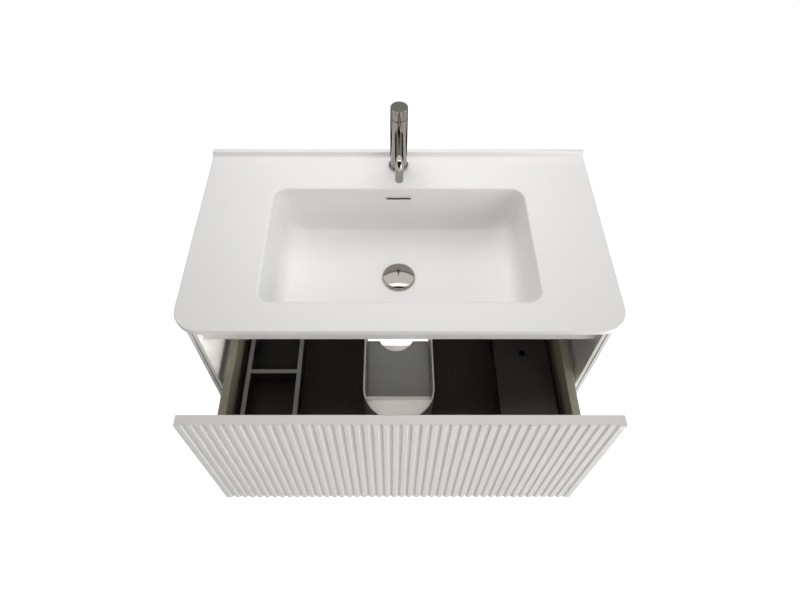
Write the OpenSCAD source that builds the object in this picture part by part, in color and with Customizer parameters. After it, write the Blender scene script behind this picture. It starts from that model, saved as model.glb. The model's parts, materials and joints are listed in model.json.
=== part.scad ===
// Floating bathroom vanity: a cast basin top with an integrated bowl, a mixer tap and a
// push waste, on a wall-hung cabinet with one tall fluted drawer front that carries two
// drawer boxes. The upper box is cut in a U round the waste trap.
//
// Frame: X to the right, Y towards the wall (the wall is the plane Y = 0, the front faces
// -Y), Z up. The origin is the centre of the four wall-plate fixing holes.
// Heights are given as drops below the top of the slab, and turned into Z by zd().
// The drawer is drawn open by drawer_open, which is the rest position of its slides.

/* [Slab and bowl] */
// Width of the slab
slab_w = 800; // [780:10:900]
// Depth of the slab from the wall to its front edge
slab_d = 460; // [450:5:480]
// Thickness of the slab at its edge
slab_t = 12; // [10:1:14]
// Radius of the two front corners of the slab, seen from above
slab_corner_r = 50; // [20:5:60]
// Height of the upstand along the wall
upstand_h = 10; // [5:1:30]
// Thickness of the upstand
upstand_t = 12; // [8:1:20]
// Inside width of the bowl at its rim
bowl_w = 512; // [440:2:540]
// Inside length of the bowl at its rim, front to back
bowl_l = 284; // [260:2:290]
// Distance from the front of the slab to the bowl
bowl_front = 63; // [60:1:75]
// Depth of the bowl at the waste
bowl_depth = 109; // [100:1:112]
// Corner radius of the bowl's rim
bowl_corner_r = 26; // [15:1:40]
// Wall thickness of the bowl
bowl_wall = 10; // [8:1:11]

/* [Cabinet] */
// Outside width of the cabinet
cab_w = 766; // [762:2:780]
// Height from the underside of the cabinet to the top of the slab
cab_h = 470; // [460:5:500]
// Distance from the wall to the front edges of the side panels
cab_d = 438; // [436:1:445]
// Thickness of the panels
panel_t = 16; // [16:1:18]
// Height of the recessed rail behind the finger pull, below the slab
front_rail_h = 76; // [60:1:80]
// Depth of the fixed shelf between the two drawer boxes
shelf_l = 140; // [120:5:150]
// Radius of the round notch for the trap in that shelf
shelf_notch_r = 39; // [30:1:42]
// Offset of that notch from the middle, negative to the left
shelf_notch_x = -4; // [-6:1:6]

/* [Drawer] */
// How far the drawer stands open at rest
drawer_open = 143.5; // [0:0.5:340]
// Height of the drawer front
front_h = 398.5; // [380:0.5:410]
// Thickness of the drawer front over its ribs
front_t = 20; // [18:1:22]
// Number of flutes in the drawer front
flute_count = 45; // [20:1:50]
// Width of one flute
flute_w = 7; // [4:0.2:8]
// Depth of one flute
flute_depth = 3.8; // [3.6:0.2:5]
// Length of the drawer boxes, front to back
box_l = 360; // [340:5:360]
// Height of the upper box
upper_box_h = 92; // [80:1:92]
// Height of the lower box
lower_box_h = 128; // [90:1:128]
// Inside width of the cut-out for the trap
trap_gap = 137; // [120:1:150]
// Distance from the drawer front to the round end of the cut-out
trap_front = 51.5; // [40:0.5:80]
// Height of the loose organisers
organiser_h = 43; // [30:1:50]

/* [Tap] */
// Radius of the tap body
tap_r = 17.4; // [16.5:0.1:18]
// Height of the tap over the slab, handle included
tap_h = 149; // [145:1:170]
// Reach of the spout from the tap's axis
spout_reach = 106; // [100:1:130]
// Turn of the handle up to full flow, in degrees
tap_lift = 18; // [10:1:20]

/* [Waste] */
// Radius of the waste cap
waste_cap_r = 33.5; // [31:0.5:34]
// Travel of the waste cap from open to shut
waste_travel = 7; // [5:0.5:7]

/* [Hidden] */
$fn = 72;
HULL_FN = 32;
EPS = 0.01;
LEFT = -1;
RIGHT = 1;

// Colours
C_SLAB = [0.93, 0.92, 0.90];
C_BODY = [0.80, 0.79, 0.77];
C_DARK = [0.16, 0.15, 0.14];
C_TAUPE = [0.55, 0.51, 0.46];
C_BOARD = [0.45, 0.45, 0.43];
C_PALE = [0.74, 0.73, 0.71];
C_STEEL = [0.62, 0.63, 0.65];
C_CHROME = [0.70, 0.69, 0.68];
C_RUBBER = [0.12, 0.12, 0.12];
C_BRASS = [0.72, 0.60, 0.36];

// Heights
fixing_drop = 110;                       // slab top above the wall fixing holes
shelf_drop = 302;                        // top of the fixed shelf
upper_drop = 206;                        // top of the upper drawer box
lower_drop = cab_h - 9 - lower_box_h;    // top of the lower drawer box
front_drop = cab_h - front_h + 0.2;      // top of the drawer front
function zd(drop) = fixing_drop - drop;

// Cabinet
in_w = cab_w - 2 * panel_t;              // clear width between the side panels
rail_t = 12;
rail_y = -422;                           // front face of the recessed rail
rear_rail_upper_h = 50;
rear_rail_lower_h = 60;
shelf_y = -436;                          // front edge of the fixed shelf
notch_y = shelf_y + shelf_l + 12;        // centre of the round notch
strip_w = 1.6;                           // dark sealing strip in a side panel's front edge
strip_in = 5;
strip_short = [4, 2];                    // how far the strip stops short, below and above
bumper_r = 2.6;
bumper_t = 0.7;
BUMPER_DROPS = [110, 430];

// Bowl
bowl_y = -slab_d + bowl_front + bowl_l / 2;
bowl_draft = 8;                          // how far the wall leans in before its fillet
bowl_fillet = 32;
bowl_fall = 5;                           // fall of the bowl's floor towards the waste
bowl_bend = bowl_depth - bowl_fall - bowl_fillet;
BOWL_STEPS = [0, 22.5, 45, 67.5, 90];
waste_flat_r = 36;
waste_hole_r = 22.5;
boss_drop = bowl_depth + 32;             // underside of the waste boss
overflow_drop = 24;
overflow_w = 51;
overflow_h = 5.6;
trim_t = 1;                              // wall of the overflow trim
channel_w = 66;                          // inside width of the overflow channel
channel_foot_w = 36;                     // and of its run under the bowl
channel_t = 6;
channel_y = bowl_y + bowl_l / 2 + 19;    // middle of its upright stretch

// Fittings that join the panels
dowel_r = 3;
cam_r = 6;
cam_in = 24;                             // from a panel's inner face to the cam's axis
bolt_r = 2.5;
bolt_out = 9;                            // length of a cam bolt in a side panel
dowel_in = 20;                           // length of a dowel in a board
dowel_out = 10;                          // and in a side panel
rear_mid_y = -panel_t / 2;
shelf_mid_drop = shelf_drop + panel_t / 2;
DOWEL_YZ = [
    [rail_y + rail_t / 2, zd(28)], [rail_y + rail_t / 2, zd(72)],
    [rear_mid_y, zd(20)], [rear_mid_y, zd(54)],
    [rear_mid_y, zd(cab_h - 50)], [rear_mid_y, zd(cab_h - 10)],
    [shelf_y + 16, zd(shelf_mid_drop)], [shelf_y + shelf_l - 16, zd(shelf_mid_drop)]
];
// Cams in the upright rails: rear face of the rail, middle of its thickness, height
UPRIGHT_CAMS = [
    [rail_y + rail_t, rail_y + rail_t / 2, zd(50)],
    [0, rear_mid_y, zd(37)],
    [0, rear_mid_y, zd(cab_h - 30)]
];
shelf_cam = [shelf_y + 70, zd(shelf_drop + panel_t)];   // in the shelf's underside
cam_past = 3.5;                          // depth of a cam past its bolt's axis

// Drawer
slide_gap = 12.7;
slide_l = 350;
box_w = in_w - 2 * slide_gap;
front_shut_y = -slab_d + 1 + front_t;    // rear face of the front when shut
front_y = front_shut_y - drawer_open;    // rear face of the front at rest
box_rear_y = front_y + box_l;
floor_up = 2;                            // how far a floor sits above the sides' lower edges
upper_floor_t = 8;
upper_floor_drop = upper_drop + upper_box_h - upper_floor_t - floor_up;
lower_floor_t = 12;
lower_floor_drop = lower_drop + lower_box_h - lower_floor_t - 2 * floor_up;
groove_in = 6;                           // how far a floor sits in the side's groove
surround_t = 3;
lower_gap = 257;                         // gap between the lower box's two back pieces
trap_r = trap_gap / 2;
trap_y = front_y + trap_front + trap_r;  // centre of the round end
organiser_w = 115;
organiser_l = 330;
organiser_t = 9;
organiser_floor_t = 4;
organiser_gap = 17.3;
organiser_x = box_w / 2 - panel_t - organiser_gap - organiser_w / 2;
organiser_y = front_y + 7;
divider_y = -405;
lid_t = 4;
lid_clear = 0.3;
lid_hole = [266, -363];
lid_hole_r = 7.5;
bracket_h = 40;
bracket_leg = 30;
bracket_t = 2;
BRACKET_DROPS = [upper_floor_drop - 50, lower_floor_drop - 70];

// Slides: drop of the centre line, then heights of the three nested channels
upper_slide_drop = 252;
lower_slide_drop = 395;
slide_y = -430;                          // front end of the slides when shut
sheet = 1.2;
outer_half = 22.5;
middle_half = 18.5;
inner_half = 13;
SLIDE_SCREW_Y = [30, 170, 320];

// Screws
screw_r = 1.75;
screw_head_r = 3.4;
screw_head_t = 1.4;
screw_l = 12;

// Hangers and wall plates
plate_x = 338;
plate_w = 46;
plate_t = 2.5;
plate_step = 3.8;                        // how far the plate's top stands off the wall
plate_low = -28;
plate_high = 42;
fixing_pitch = 32;
fixing_r = 3.25;
hanger_t = 12;
hanger_h = 62;
hanger_y = [-74, -22];                   // front and rear of the housing
hook_t = 2.4;
hook_y = -0.8;                           // rear face of the hook
hook_low = 30;
hook_high = 46;
hanger_bolt_r = 3.5;
hanger_bolt_y = -55;
HANGER_BOLT_Z = [14, 48];
HANGER_SCREW_Z = [24, 36];

// Tap
tap_y = -44;
tap_hole_r = 17.5;
foot_r = 20.8;
foot_h = 5;
foot_t = 2;                              // floor of the dished foot ring
handle_r = tap_r - 0.3;
cap_gap = 1;
cap_bottom = 126;
pivot_h = cap_bottom + 8;                // height of the lever's pivot
spout_h = 98;
spout_r = 8;
spout_bore = 6.4;
spout_bend = 18;
spout_end = 58;
inlet_r = 4.46;
lever_h = 140;
lever_r = 3;
lever_out = 30;
cartridge_r = 12.6;
cartridge_low = 89;
cartridge_h = 28;
inlet_xy = [6.5, -4.5];                  // from the tap's axis
inlet_l = 12;
stud_y = 9;
stud_r = 3;
washer_r = 23;
washer_t = 3;
clamp_nut_h = 7;
spindle_r = 3.95;
socket_r = 4;
pin_r = 1.5;

// Waste
waste_y = bowl_y - 5;
waste_seat_drop = bowl_depth - 3.6;      // top of the waste's flange
barrel_r = 20.4;                         // inside the basin, the seals and the nut
tail_r = 20.955;                         // over the thread of the free tail
tail_bore = 18.4;
nut_drop = boss_drop + 15;               // underside of the nut: the free tail starts there
tail_drop = 200;
flange_r = 32;
seal_r = 30;
seal_t = 5;
nut_r = 28;
nut_h = 10;
WASTE_SLOT = [9, 8];                     // width and height of the overflow slots
guide_r = 7;
guide_h = 42;
stem_r = 4;
stem_bore = 4.05;
cap_rim_t = 2;
cap_rise = 7.5;                          // height of the cap's dome over its rim

// ---------------------------------------------------------------- shared shapes

// A box given by its low and high corners
module block(lo, hi) {
    translate(lo) cube(hi - lo);
}

// A flat outline raised between two drops
module plate_between(drop_top, drop_bottom) {
    translate([0, 0, zd(drop_bottom)])
        linear_extrude(height = drop_bottom - drop_top) children();
}

// A rod along X, centred
module rod_x(r, x0, x1) {
    translate([x0, 0, 0]) rotate([0, 90, 0]) cylinder(r = r, h = x1 - x0);
}

// A rod along Y
module rod_y(r, y0, y1) {
    translate([0, y0, 0]) rotate([-90, 0, 0]) cylinder(r = r, h = y1 - y0);
}

// The same thing on the left and on the right
module both_sides() {
    for (s = [LEFT, RIGHT]) scale_side(s) children();
}

module scale_side(side) {
    if (side == LEFT) mirror([1, 0, 0]) children();
    else children();
}

// Pan-head screw that points along +X from the face x = 0
module screw() {
    rod_x(screw_r, 0, screw_l);
    rod_x(screw_head_r, -screw_head_t, 0);
}

// ---------------------------------------------------------------- basin top

// Thin rounded rectangle of the bowl at one level: w and l are its sides
module bowl_level(w, l, r, drop) {
    for (sx = [-1, 1], sy = [-1, 1])
        translate([sx * (w / 2 - r), bowl_y + sy * (l / 2 - r), zd(drop)])
            cylinder(r = r, h = EPS, $fn = HULL_FN);
}

// The bowl's form: upright walls with a little draft, a fillet, and a floor that falls to
// the waste. Grown by a wall thickness it is the outside of the bowl.
module bowl_form(grow, top_drop) {
    hull() {
        bowl_level(bowl_w + 2 * grow, bowl_l + 2 * grow, bowl_corner_r + grow, top_drop);
        for (a = BOWL_STEPS) {
            inset = bowl_draft + bowl_fillet * (1 - cos(a)) - grow;
            bowl_level(bowl_w - 2 * inset, bowl_l - 2 * inset, bowl_corner_r + inset / 3 + grow,
                bowl_bend + bowl_fillet * sin(a) + grow);
        }
        translate([0, waste_y, zd(bowl_depth + grow)])
            cylinder(r = waste_flat_r, h = EPS, $fn = HULL_FN);
    }
}

// Soft flare of the rim
module bowl_flare() {
    hull() {
        bowl_level(bowl_w + 8, bowl_l + 8, bowl_corner_r + 4, -EPS);
        bowl_level(bowl_w + 2, bowl_l + 2, bowl_corner_r + 1, 1.6);
        bowl_level(bowl_w - 1, bowl_l - 1, bowl_corner_r, 6);
    }
}

module slab_outline() {
    difference() {
        translate([-slab_w / 2, -slab_d]) square([slab_w, slab_d]);
        for (s = [-1, 1])
            translate([s * (slab_w / 2 - slab_corner_r / 2), -slab_d + slab_corner_r / 2])
                square(slab_corner_r + EPS, center = true);
    }
    for (s = [-1, 1])
        translate([s * (slab_w / 2 - slab_corner_r), -slab_d + slab_corner_r])
            circle(r = slab_corner_r);
}

// Rounded slot through the rear wall of the bowl
module overflow_slot(w, h, y0, y1) {
    translate([0, y1, zd(overflow_drop)]) rotate([90, 0, 0])
        linear_extrude(height = y1 - y0) {
            square([w - h, h], center = true);
            for (s = [-1, 1]) translate([s * (w - h) / 2, 0]) circle(d = h);
        }
}

module overflow_channel_outside() {
    half = channel_w / 2 + channel_t;
    foot_half = channel_foot_w / 2 + channel_t;
    block([-half, channel_y - 22, zd(boss_drop)], [half, channel_y + 10, zd(slab_t)]);
    block([-foot_half, waste_y, zd(boss_drop)],
        [foot_half, channel_y + 10, zd(bowl_depth + 2)]);
}

module overflow_channel_inside() {
    block([-channel_w / 2, channel_y - 4, zd(boss_drop - channel_t)],
        [channel_w / 2, channel_y + 5, zd(overflow_drop - 8)]);
    block([-channel_foot_w / 2, waste_y + 10, zd(boss_drop - channel_t)],
        [channel_foot_w / 2, channel_y + 5, zd(boss_drop - channel_t - 10)]);
}

module basin_top() {
    color(C_SLAB) difference() {
        union() {
            plate_between(0, slab_t) slab_outline();
            block([-slab_w / 2, -upstand_t, zd(0)], [slab_w / 2, 0, zd(-upstand_h)]);
            bowl_form(bowl_wall, slab_t - 1);
            translate([0, waste_y, zd(boss_drop)])
                cylinder(r = waste_flat_r, h = boss_drop - bowl_depth);
            overflow_channel_outside();
        }
        bowl_form(0, -EPS);
        bowl_flare();
        overflow_channel_inside();
        overflow_slot(overflow_w + 2 * trim_t, overflow_h + 2 * trim_t,
            bowl_y + bowl_l / 2 - 12, channel_y);
        overflow_lip();
        translate([0, waste_y, zd(boss_drop + 1)]) cylinder(r = waste_hole_r, h = boss_drop);
        translate([0, tap_y, zd(slab_t + 1)]) cylinder(r = tap_hole_r, h = slab_t + 2);
    }
}

// Flat lip of the trim, let into the bowl's rear wall
module overflow_lip() {
    overflow_slot(overflow_w + 4 * trim_t, overflow_h + 3 * trim_t,
        bowl_y + bowl_l / 2 - 4.6, bowl_y + bowl_l / 2 - 2);
}

module overflow_trim() {
    color(C_CHROME) difference() {
        union() {
            overflow_slot(overflow_w + 2 * trim_t, overflow_h + 2 * trim_t,
                bowl_y + bowl_l / 2 - 4, bowl_y + bowl_l / 2 + 12);
            overflow_lip();
        }
        overflow_slot(overflow_w, overflow_h,
            bowl_y + bowl_l / 2 - 7, bowl_y + bowl_l / 2 + 13);
    }
}

// ---------------------------------------------------------------- cabinet

module dowels() {
    color("burlywood") both_sides()
        for (p = DOWEL_YZ)
            translate([0, p[0], p[1]]) rod_x(dowel_r, in_w / 2 - dowel_in, in_w / 2 + dowel_out);
}

// Round housings, open at the hidden face of each board, as deep as the bolt needs
module cam_housings() {
    both_sides() {
        for (c = UPRIGHT_CAMS)
            translate([in_w / 2 - cam_in, c[0], c[2]])
                rod_y(cam_r, c[1] - c[0] - cam_past, 0);
        translate([in_w / 2 - cam_in, shelf_cam[0], shelf_cam[1]])
            cylinder(r = cam_r, h = panel_t / 2 + cam_past);
    }
}

module cam_locks() {
    color(C_STEEL) difference() {
        cam_housings();
        cam_bolts();
    }
}

module cam_bolts() {
    color(C_STEEL) both_sides()
        for (p = concat([for (c = UPRIGHT_CAMS) [c[1], c[2]]],
                [[shelf_cam[0], shelf_cam[1] + panel_t / 2]]))
            translate([0, p[0], p[1]])
                rod_x(bolt_r, in_w / 2 - cam_in + 2, in_w / 2 + bolt_out);
}

// Holes for the fittings above, in the panels and in the boards
module fitting_holes() {
    dowels();
    cam_housings();
    cam_bolts();
}

module side_panel(side) {
    color(C_BODY) difference() {
        scale_side(side) block([in_w / 2, -cab_d, zd(cab_h)], [cab_w / 2, 0, zd(slab_t)]);
        edge_strips();
        dowels();
        cam_bolts();
        cabinet_screws();
        scale_side(side) hanger_bolts();
    }
}

// Dark sealing strip let into the front edge of each side panel
module edge_strips() {
    color(C_RUBBER) both_sides()
        block([cab_w / 2 - panel_t / 2 - strip_w / 2, -cab_d, zd(cab_h - strip_short[0])],
            [cab_w / 2 - panel_t / 2 + strip_w / 2, -cab_d + strip_in,
                zd(slab_t + strip_short[1])]);
}

module top_front_rail() {
    color(C_BODY) difference() {
        block([-in_w / 2, rail_y, zd(slab_t + front_rail_h)],
            [in_w / 2, rail_y + rail_t, zd(slab_t)]);
        fitting_holes();
    }
}

module rear_rail_upper() {
    color(C_BODY) difference() {
        block([-in_w / 2, -panel_t, zd(slab_t + rear_rail_upper_h)],
            [in_w / 2, 0, zd(slab_t)]);
        fitting_holes();
    }
}

module rear_rail_lower() {
    color(C_BODY) difference() {
        block([-in_w / 2, -panel_t, zd(cab_h)], [in_w / 2, 0, zd(cab_h - rear_rail_lower_h)]);
        fitting_holes();
    }
}

// Fixed shelf between the two drawer boxes, notched for the trap
module trap_shelf() {
    color(C_BOARD) difference() {
        block([-in_w / 2, shelf_y, zd(shelf_drop + panel_t)],
            [in_w / 2, shelf_y + shelf_l, zd(shelf_drop)]);
        translate([shelf_notch_x, notch_y, zd(shelf_drop + panel_t + 1)])
            cylinder(r = shelf_notch_r, h = panel_t + 2);
        fitting_holes();
    }
}

// Soft stops on the front edges of the side panels
module door_bumpers() {
    color("whitesmoke") both_sides()
        for (d = BUMPER_DROPS)
            translate([cab_w / 2 - bumper_r - 1.4, 0, zd(d)])
                rod_y(bumper_r, -cab_d - bumper_t, -cab_d);
}

// Bolts of one hanger into its side panel
module hanger_bolts() {
    for (z = HANGER_BOLT_Z)
        translate([0, hanger_bolt_y, z])
            rod_x(hanger_bolt_r, in_w / 2 - 1, in_w / 2 + 10);
}

// Steel hanger: a housing on the side panel, its bolts, two adjusting holes and a hook
module hanger(side) {
    color(C_STEEL) scale_side(side) difference() {
        union() {
            block([in_w / 2 - hanger_t, hanger_y[0], 0], [in_w / 2, hanger_y[1], hanger_h]);
            block([plate_x - 14, hanger_y[0] + 2, hook_high - 2.5],
                [in_w / 2 - hanger_t + 1, hook_y, hook_high]);
            block([plate_x - 14, hook_y - hook_t, hook_low],
                [plate_x + 14, hook_y, hook_high]);
            hanger_bolts();
        }
        for (z = HANGER_SCREW_Z)
            translate([in_w / 2 - hanger_t / 2, 0, z])
                rod_y(3, hanger_y[0] - 1, hanger_y[0] + 14);
    }
}

// Wall plates: flat against the wall where they are screwed, stepped forward at the top so
// that the hangers' hooks drop in behind
module wall_plates() {
    color(C_STEEL) both_sides() difference() {
        translate([plate_x - plate_w / 2, 0, 0]) rotate([90, 0, 90])
            linear_extrude(height = plate_w)
                polygon([
                    [0, plate_low], [0, 20], [-plate_step, 26], [-plate_step, plate_high],
                    [-plate_step - plate_t, plate_high], [-plate_step - plate_t, 25],
                    [-plate_t, 19], [-plate_t, plate_low]
                ]);
        for (z = [-1, 1]) translate([plate_x, 0, z * fixing_pitch / 2])
            rod_y(fixing_r, -10, 1);
    }
}

// ---------------------------------------------------------------- slides

// C-shaped channel section: web at x_web, flanges out to x_lip, lips turned in
module channel_section(x_web, x_lip, half, lip) {
    dir = x_lip > x_web ? 1 : -1;
    x0 = min(x_web, x_web + dir * sheet);
    translate([x0, -half]) square([sheet, 2 * half]);
    for (s = [-1, 1]) {
        y0 = s > 0 ? half - sheet : -half;
        translate([min(x_web, x_lip), y0]) square([abs(x_lip - x_web), sheet]);
        lip_y = s > 0 ? half - lip : -half;
        translate([min(x_lip, x_lip - dir * sheet), lip_y]) square([sheet, lip]);
    }
}

module slide_member(side, drop, y_front, x_web, x_lip, half, lip) {
    color(C_STEEL) scale_side(side) translate([0, y_front + slide_l, zd(drop)])
        rotate([90, 0, 0]) linear_extrude(height = slide_l)
            channel_section(x_web, x_lip, half, lip);
}

module slide_outer(side, drop) {
    difference() {
        slide_member(side, drop, slide_y, in_w / 2, in_w / 2 - 9.6, outer_half, 3);
        cabinet_screws();
    }
}

module slide_middle(side, drop) {
    slide_member(side, drop, slide_y - drawer_open / 2,
        in_w / 2 - 4.2, in_w / 2 - 9.4, middle_half, 4);
}

module slide_inner_pair(drop) {
    difference() {
        for (s = [LEFT, RIGHT])
            slide_member(s, drop, slide_y - drawer_open,
                in_w / 2 - slide_gap, in_w / 2 - 6.2, inner_half, 3);
        drawer_screws();
    }
}

module cabinet_screws() {
    color(C_STEEL) both_sides()
        for (d = [upper_slide_drop, lower_slide_drop], y = SLIDE_SCREW_Y)
            translate([in_w / 2 - sheet, slide_y + y, zd(d)]) screw();
}

module slide_outer_upper_left() slide_outer(LEFT, upper_slide_drop);
module slide_outer_upper_right() slide_outer(RIGHT, upper_slide_drop);
module slide_outer_lower_left() slide_outer(LEFT, lower_slide_drop);
module slide_outer_lower_right() slide_outer(RIGHT, lower_slide_drop);
module slide_middle_upper_left() slide_middle(LEFT, upper_slide_drop);
module slide_middle_upper_right() slide_middle(RIGHT, upper_slide_drop);
module slide_middle_lower_left() slide_middle(LEFT, lower_slide_drop);
module slide_middle_lower_right() slide_middle(RIGHT, lower_slide_drop);
module slide_inner_upper() slide_inner_pair(upper_slide_drop);
module slide_inner_lower() slide_inner_pair(lower_slide_drop);

// ---------------------------------------------------------------- drawer

module fluted_outline() {
    pitch = cab_w / (flute_count + 1);
    difference() {
        translate([-cab_w / 2, front_y - front_t]) square([cab_w, front_t]);
        for (i = [1:flute_count])
            translate([-cab_w / 2 + i * pitch, front_y - front_t + flute_depth - flute_w / 2]) {
                circle(d = flute_w, $fn = 24);
                translate([-flute_w / 2, -flute_depth]) square([flute_w, flute_depth]);
            }
    }
}

module drawer_front() {
    color(C_BODY) difference() {
        plate_between(front_drop, front_drop + front_h) fluted_outline();
        drawer_screws();
    }
}

module box_side(side, drop, h, floor_drop, floor_t, tint) {
    color(tint) difference() {
        scale_side(side) block([box_w / 2 - panel_t, front_y, zd(drop + h)],
            [box_w / 2, box_rear_y, zd(drop)]);
        floor_panel(floor_drop, floor_t);
        drawer_screws();
    }
}

module floor_panel(floor_drop, floor_t) {
    half = box_w / 2 - panel_t + groove_in;
    block([-half, front_y, zd(floor_drop + floor_t)], [half, box_rear_y, zd(floor_drop)]);
}

module upper_side_left()
    box_side(LEFT, upper_drop, upper_box_h, upper_floor_drop, upper_floor_t, C_TAUPE);
module upper_side_right()
    box_side(RIGHT, upper_drop, upper_box_h, upper_floor_drop, upper_floor_t, C_TAUPE);
module lower_side_left()
    box_side(LEFT, lower_drop, lower_box_h, lower_floor_drop, lower_floor_t, C_PALE);
module lower_side_right()
    box_side(RIGHT, lower_drop, lower_box_h, lower_floor_drop, lower_floor_t, C_PALE);

// Two back pieces, with a gap between them for the trap and its pipes
module box_backs(drop, floor_drop, half_gap, tint) {
    color(tint) both_sides()
        block([half_gap, box_rear_y - panel_t, zd(floor_drop)],
            [box_w / 2 - panel_t, box_rear_y, zd(drop)]);
}

module upper_backs() box_backs(upper_drop, upper_floor_drop, trap_r + surround_t, C_TAUPE);
module lower_backs() box_backs(lower_drop, lower_floor_drop, lower_gap / 2, C_PALE);

// Outline of the U that keeps clear of the trap, open to the rear
module trap_outline(r) {
    translate([0, trap_y]) circle(r = r);
    translate([-r, trap_y]) square([2 * r, box_rear_y - trap_y + 1]);
}

module upper_floor() {
    color(C_DARK) difference() {
        floor_panel(upper_floor_drop, upper_floor_t);
        plate_between(upper_floor_drop - 1, upper_floor_drop + upper_floor_t + 1)
            trap_outline(trap_r + surround_t);
    }
}

// Thin U-shaped wall that closes the upper box off from the trap
module trap_surround() {
    color(C_PALE) intersection() {
        plate_between(upper_drop, upper_floor_drop + upper_floor_t) difference() {
            trap_outline(trap_r + surround_t);
            trap_outline(trap_r);
        }
        block([-box_w, -2 * slab_d, -cab_h], [box_w, box_rear_y, cab_h]);
    }
}

module lower_floor() {
    color(C_PALE) floor_panel(lower_floor_drop, lower_floor_t);
}

// Open-topped organiser that stands on the upper floor, by its centre in X
module organiser(x) {
    lo = [x - organiser_w / 2, organiser_y, zd(upper_floor_drop)];
    hi = lo + [organiser_w, organiser_l, organiser_h];
    color(C_DARK) difference() {
        block(lo, hi);
        block(lo + [organiser_t, organiser_t, organiser_floor_t],
            hi - [organiser_t, organiser_t, -1]);
    }
}

module organiser_left() organiser(-organiser_x);
module organiser_right() organiser(organiser_x);

module organiser_divider() {
    color(C_DARK)
        block([-organiser_x - organiser_w / 2 + organiser_t, divider_y - organiser_t / 2,
                zd(upper_floor_drop) + organiser_floor_t],
            [-organiser_x + organiser_w / 2 - organiser_t, divider_y + organiser_t / 2,
                zd(upper_floor_drop) + organiser_h - 1]);
}

// Loose lid with a finger hole
module organiser_lid() {
    z = zd(upper_floor_drop) + organiser_h + lid_clear;
    color(C_BOARD) difference() {
        block([organiser_x - organiser_w / 2, organiser_y, z],
            [organiser_x + organiser_w / 2, organiser_y + organiser_l, z + lid_t]);
        translate([lid_hole[0], lid_hole[1], z - 1]) cylinder(r = lid_hole_r, h = lid_t + 2);
    }
}

// Steel angles that hold the two boxes to the drawer front
module front_brackets() {
    x = box_w / 2 - panel_t;
    color(C_STEEL) difference() {
        for (s = [LEFT, RIGHT], d = BRACKET_DROPS) scale_side(s) {
            block([x - bracket_leg, front_y, zd(d + bracket_h)],
                [x, front_y + bracket_t, zd(d)]);
            block([x - bracket_t, front_y, zd(d + bracket_h)],
                [x, front_y + bracket_leg, zd(d)]);
        }
        drawer_screws();
    }
}

module drawer_screws() {
    color(C_STEEL) both_sides() {
        for (d = [upper_slide_drop, lower_slide_drop], y = SLIDE_SCREW_Y)
            translate([box_w / 2 + sheet, slide_y - drawer_open + y, zd(d)])
                mirror([1, 0, 0]) screw();
        for (d = BRACKET_DROPS, dz = [bracket_h / 4, 3 * bracket_h / 4]) {
            translate([box_w / 2 - panel_t - 20, front_y + bracket_t, zd(d + dz)])
                rotate([0, 0, -90]) screw();
            translate([box_w / 2 - panel_t - bracket_t, front_y + 20, zd(d + dz)]) screw();
        }
    }
}

// ---------------------------------------------------------------- waste

module on_waste_axis(drop) {
    translate([0, waste_y, zd(drop)]) children();
}

module waste_body() {
    color(C_CHROME) difference() {
        union() {
            on_waste_axis(bowl_depth - 1)
                cylinder(r = flange_r, h = bowl_depth - 1 - waste_seat_drop);
            on_waste_axis(nut_drop) cylinder(r = barrel_r, h = nut_drop - bowl_depth + 1);
            on_waste_axis(tail_drop) cylinder(r = tail_r, h = tail_drop - nut_drop);
        }
        on_waste_axis(tail_drop + 1) cylinder(r = tail_bore, h = tail_drop);
        on_waste_axis(boss_drop - 11) for (a = [0, 60, 120])
            rotate([0, 0, a])
                cube([2 * flange_r, WASTE_SLOT[0], WASTE_SLOT[1]], center = true);
    }
}

module waste_top_seal() {
    color(C_RUBBER) on_waste_axis(bowl_depth) difference() {
        cylinder(r = flange_r - 1, h = 1);
        translate([0, 0, -1]) cylinder(r = barrel_r, h = 3);
    }
}

module waste_bottom_seal() {
    color(C_RUBBER) on_waste_axis(boss_drop + seal_t) difference() {
        cylinder(r = seal_r, h = seal_t);
        translate([0, 0, -1]) cylinder(r = barrel_r, h = seal_t + 2);
    }
}

module waste_nut() {
    color(C_BRASS) on_waste_axis(nut_drop) difference() {
        union() {
            cylinder(r = nut_r, h = nut_h);
            for (a = [0:45:315])
                rotate([0, 0, a]) translate([nut_r - 1, -4, 0]) cube([4, 8, nut_h]);
        }
        translate([0, 0, -1]) cylinder(r = barrel_r, h = nut_h + 2);
    }
}

// Push-latch guide inside the waste, held by three webs
module waste_guide() {
    color("ivory") on_waste_axis(bowl_depth + 10 + guide_h) difference() {
        union() {
            cylinder(r = guide_r, h = guide_h);
            intersection() {
                for (a = [0:120:240]) rotate([0, 0, a]) translate([0, -1.2, 20])
                    cube([tail_r, 2.4, 14]);
                cylinder(r = tail_bore, h = guide_h);
            }
        }
        translate([0, 0, 6]) cylinder(r = stem_bore, h = guide_h);
    }
}

// Domed cap on its stem, drawn shut: it rises by waste_travel
module waste_cap() {
    under = waste_seat_drop - 0.3;
    dome_r = (waste_cap_r * waste_cap_r + cap_rise * cap_rise) / (2 * cap_rise);
    color(C_CHROME) on_waste_axis(under) {
        rotate_extrude() {
            intersection() {
                translate([0, cap_rim_t + cap_rise - dome_r]) circle(r = dome_r, $fn = 360);
                translate([0, cap_rim_t]) square([waste_cap_r, cap_rise + 1]);
            }
            square([waste_cap_r, cap_rim_t + EPS]);
        }
        translate([0, 0, -31 - waste_travel]) cylinder(r = stem_r, h = 32 + waste_travel);
    }
}

// ---------------------------------------------------------------- tap

module on_tap_axis(h) {
    translate([0, tap_y, zd(0) + h]) children();
}

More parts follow.
